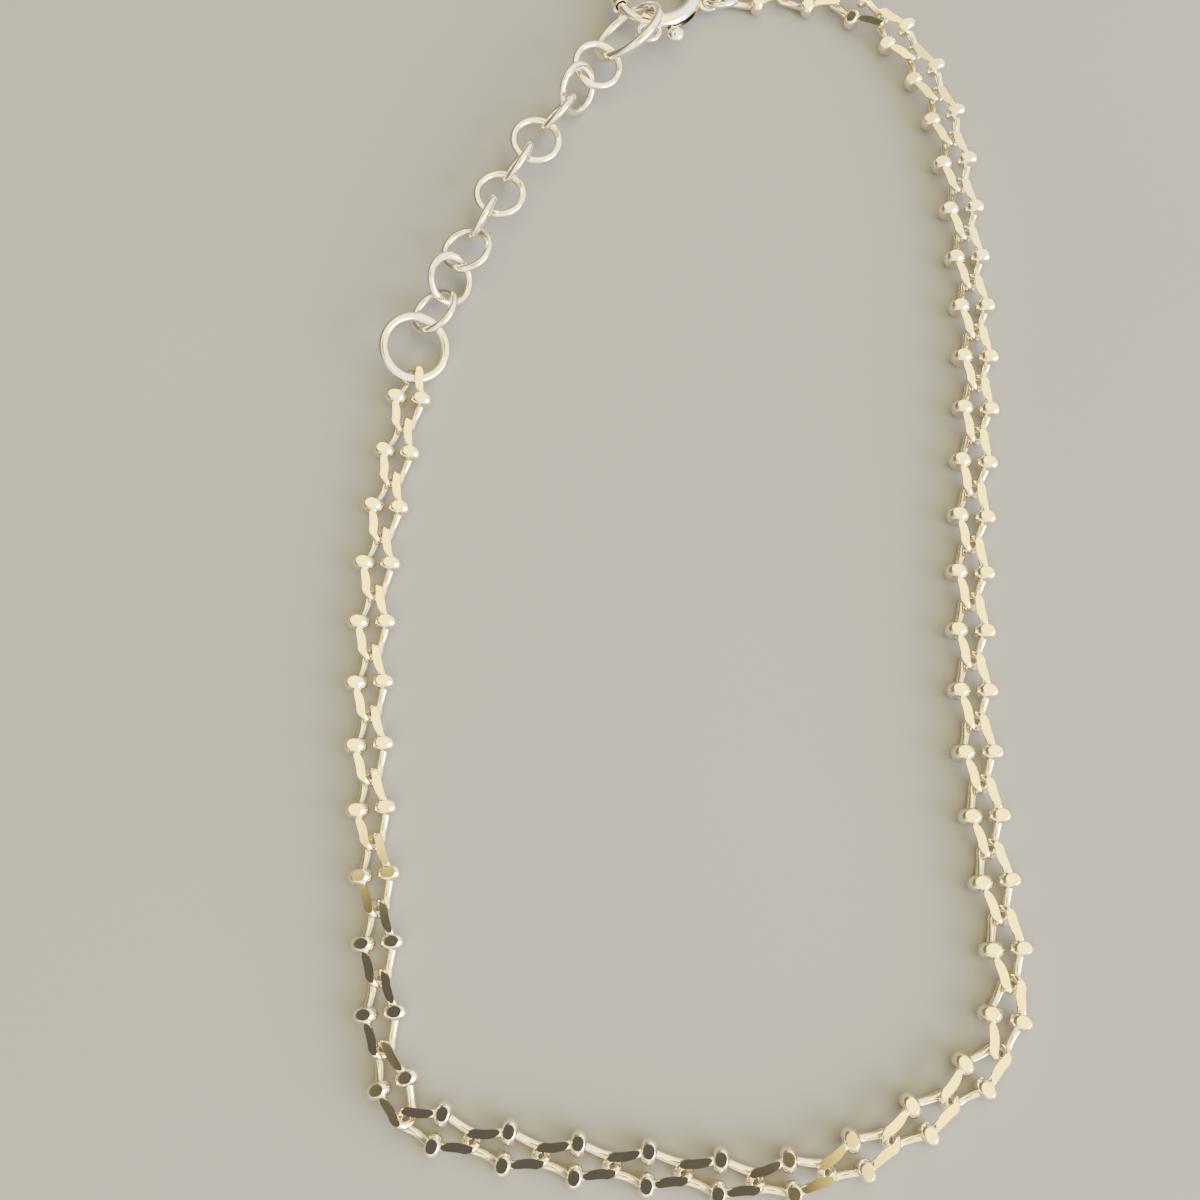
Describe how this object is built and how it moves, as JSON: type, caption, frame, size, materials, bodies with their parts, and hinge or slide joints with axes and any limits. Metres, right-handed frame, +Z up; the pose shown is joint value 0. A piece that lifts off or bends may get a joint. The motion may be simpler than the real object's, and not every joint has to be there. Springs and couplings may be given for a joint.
{
  "type": "bead and curb chain bracelet",
  "caption": "Pale gold bracelet of flat curb links with a faceted bead on each side, closed by a ring extender and a spring ring clasp.",
  "frame": {"origin": "on the table, under the middle of the box round the lying bracelet", "axes": "+Z up from the table, +Y along the loop's long way towards the clasp, +X across the loop to the right in the picture"},
  "size_m": [0.0396, 0.075, 0.0034],
  "materials": {
    "chain_gold": "polished pale gold plate, bright cut faces",
    "ring_gold": "polished pale gold plate, round drawn wire",
    "clasp_gold": "polished pale gold plate, rolled tube"
  },
  "bodies": {
    "bracelet": {"link_01": "chain_gold", "link_02": "chain_gold", "link_03": "chain_gold", "link_04": "chain_gold", "link_05": "chain_gold", "link_06": "chain_gold", "link_07": "chain_gold", "link_08": "chain_gold", "link_09": "chain_gold", "link_10": "chain_gold", "link_11": "chain_gold", "link_12": "chain_gold", "link_13": "chain_gold", "link_14": "chain_gold", "link_15": "chain_gold", "link_16": "chain_gold", "link_17": "chain_gold", "link_18": "chain_gold", "link_19": "chain_gold", "link_20": "chain_gold", "link_21": "chain_gold", "link_22": "chain_gold", "link_23": "chain_gold", "link_24": "chain_gold", "link_25": "chain_gold", "link_26": "chain_gold", "link_27": "chain_gold", "link_28": "chain_gold", "link_29": "chain_gold", "link_30": "chain_gold", "link_31": "chain_gold", "link_32": "chain_gold", "link_33": "chain_gold", "link_34": "chain_gold", "link_35": "chain_gold", "link_36": "chain_gold", "link_37": "chain_gold", "link_38": "chain_gold", "link_39": "chain_gold", "link_40": "chain_gold", "link_41": "chain_gold", "link_42": "chain_gold", "link_43": "chain_gold", "extender_jump_ring": "ring_gold", "extender_ring_01": "ring_gold", "extender_ring_02": "ring_gold", "extender_ring_03": "ring_gold", "extender_ring_04": "ring_gold", "extender_ring_05": "ring_gold", "extender_ring_06": "ring_gold", "extender_ring_07": "ring_gold", "extender_ring_08": "ring_gold", "extender_ring_09": "ring_gold", "extender_ring_10": "ring_gold", "hook_ring": "ring_gold", "clasp_ring": "clasp_gold", "clasp_jump_ring": "ring_gold"},
    "bolt": {"clasp_bolt": "clasp_gold"}
  },
  "joints": [
    {"name": "bolt_slide_back", "type": "hinge", "parent": "bracelet", "child": "bolt", "pos_m": [0.00133, 0.03454, 0.0011], "axis": [0.1001, 0.0967, 0.9903], "range_deg": [0, 44], "stiffness_Nm_per_rad": 0.002}
  ]
}
